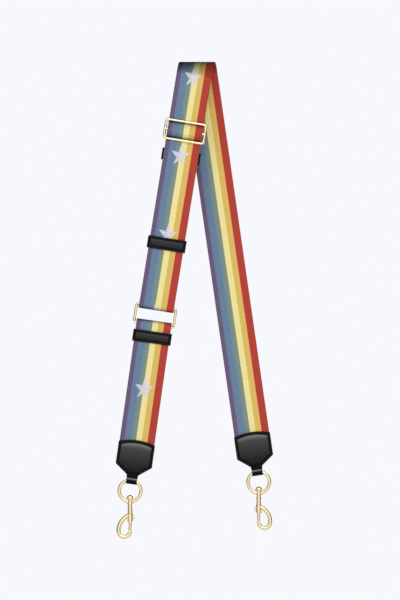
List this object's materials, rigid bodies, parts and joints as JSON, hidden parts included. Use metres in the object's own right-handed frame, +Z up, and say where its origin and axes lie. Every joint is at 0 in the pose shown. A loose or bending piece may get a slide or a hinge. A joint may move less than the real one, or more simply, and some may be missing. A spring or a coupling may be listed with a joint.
{
  "type": "adjustable shoulder strap",
  "caption": "Adjustable striped webbing shoulder strap with a wire slider, rectangular ring, leather keeper and end tabs, and a swivel bolt snap at each end, hung over a rail.",
  "frame": {"origin": "on the axis of the rail that the strap hangs on, in the middle of the top fold", "axes": "+Z up, +X to the right of someone who faces the front leg, -Y to the front"},
  "size_m": [0.1699, 0.0373, 0.5143],
  "materials": {
    "webbing": "woven rainbow stripes, matt, cross ribbed",
    "black_leather": "smooth black calf, semi-gloss",
    "gold_metal": "polished pale gold plate",
    "padding": "thin bonded board, hidden",
    "spring_steel": "drawn wire"
  },
  "bodies": {
    "strap": {"webbing_main": "webbing", "webbing_front": "webbing", "right_tab_leather": "black_leather", "right_front_pad": "padding", "right_back_pad": "padding"},
    "slider": {"slider_frame": "gold_metal", "slider_bar": "gold_metal", "webbing_slider_arch": "webbing", "webbing_sewn_end": "webbing", "slider_cover": "black_leather"},
    "adjusting_loop": {"webbing_loop": "webbing"},
    "keeper": {"keeper": "black_leather"},
    "rectangle_ring": {"rectangle_ring": "gold_metal"},
    "lower_strap": {"webbing_lower": "webbing", "ring_cover": "black_leather", "left_tab_leather": "black_leather", "left_front_pad": "padding", "left_back_pad": "padding"},
    "left_eye": {"left_swivel_eye": "gold_metal"},
    "left_hook": {"left_hook": "gold_metal", "left_swivel_rivet": "gold_metal", "left_spring": "spring_steel"},
    "left_bolt": {"left_bolt": "gold_metal", "left_thumb_knob": "gold_metal"},
    "right_eye": {"right_swivel_eye": "gold_metal"},
    "right_hook": {"right_hook": "gold_metal", "right_swivel_rivet": "gold_metal", "right_spring": "spring_steel"},
    "right_bolt": {"right_bolt": "gold_metal", "right_thumb_knob": "gold_metal"}
  },
  "joints": [
    {"name": "slider_slide", "type": "slide", "parent": "strap", "child": "slider", "axis": [-0.1599, 0, -0.9871], "range_m": [-0.031, 0.14], "deforming": ["webbing_front"]},
    {"name": "loop_take_up", "type": "slide", "parent": "slider", "child": "adjusting_loop", "axis": [-0.1599, 0, -0.9871], "range_m": [-0.07, 0.0155], "deforming": ["webbing_loop"]},
    {"name": "keeper_slide", "type": "slide", "parent": "adjusting_loop", "child": "keeper", "axis": [-0.1599, 0, -0.9871], "range_m": [-0.012, 0.045]},
    {"name": "ring_hinge", "type": "hinge", "parent": "adjusting_loop", "child": "rectangle_ring", "pos_m": [-0.04389, -0.0091, -0.24973], "axis": [0.9886, 0, -0.1504], "range_deg": [-60, 60]},
    {"name": "lower_strap_hinge", "type": "hinge", "parent": "rectangle_ring", "child": "lower_strap", "pos_m": [-0.04696, -0.0091, -0.2699], "axis": [0.9886, 0, -0.1504], "range_deg": [-75, 75]},
    {"name": "left_eye_hinge", "type": "hinge", "parent": "lower_strap", "child": "left_eye", "pos_m": [-0.07066, -0.01315, -0.43713], "axis": [0.99, 0, -0.1409], "range_deg": [-75, 75]},
    {"name": "left_swivel", "type": "hinge", "parent": "left_eye", "child": "left_hook", "pos_m": [-0.07231, -0.01315, -0.46041], "axis": [0, 0, 1], "continuous": true},
    {"name": "left_bolt_slide", "type": "slide", "parent": "left_hook", "child": "left_bolt", "axis": [0, 0, 1], "range_m": [0, 0.007], "stiffness_N_per_m": 300, "springref_m": -0.008, "deforming": ["left_spring"]},
    {"name": "right_eye_hinge", "type": "hinge", "parent": "strap", "child": "right_eye", "pos_m": [0.06475, 0.01315, -0.42867], "axis": [0.9898, 0, 0.1426], "range_deg": [-75, 75]},
    {"name": "right_swivel", "type": "hinge", "parent": "right_eye", "child": "right_hook", "pos_m": [0.06642, 0.01315, -0.45195], "axis": [0, 0, 1], "continuous": true},
    {"name": "right_bolt_slide", "type": "slide", "parent": "right_hook", "child": "right_bolt", "axis": [0, 0, 1], "range_m": [0, 0.007], "stiffness_N_per_m": 300, "springref_m": -0.008, "deforming": ["right_spring"]}
  ],
  "couplings": [
    {"joint": "loop_take_up", "follows": "slider_slide", "ratio": -0.5}
  ]
}
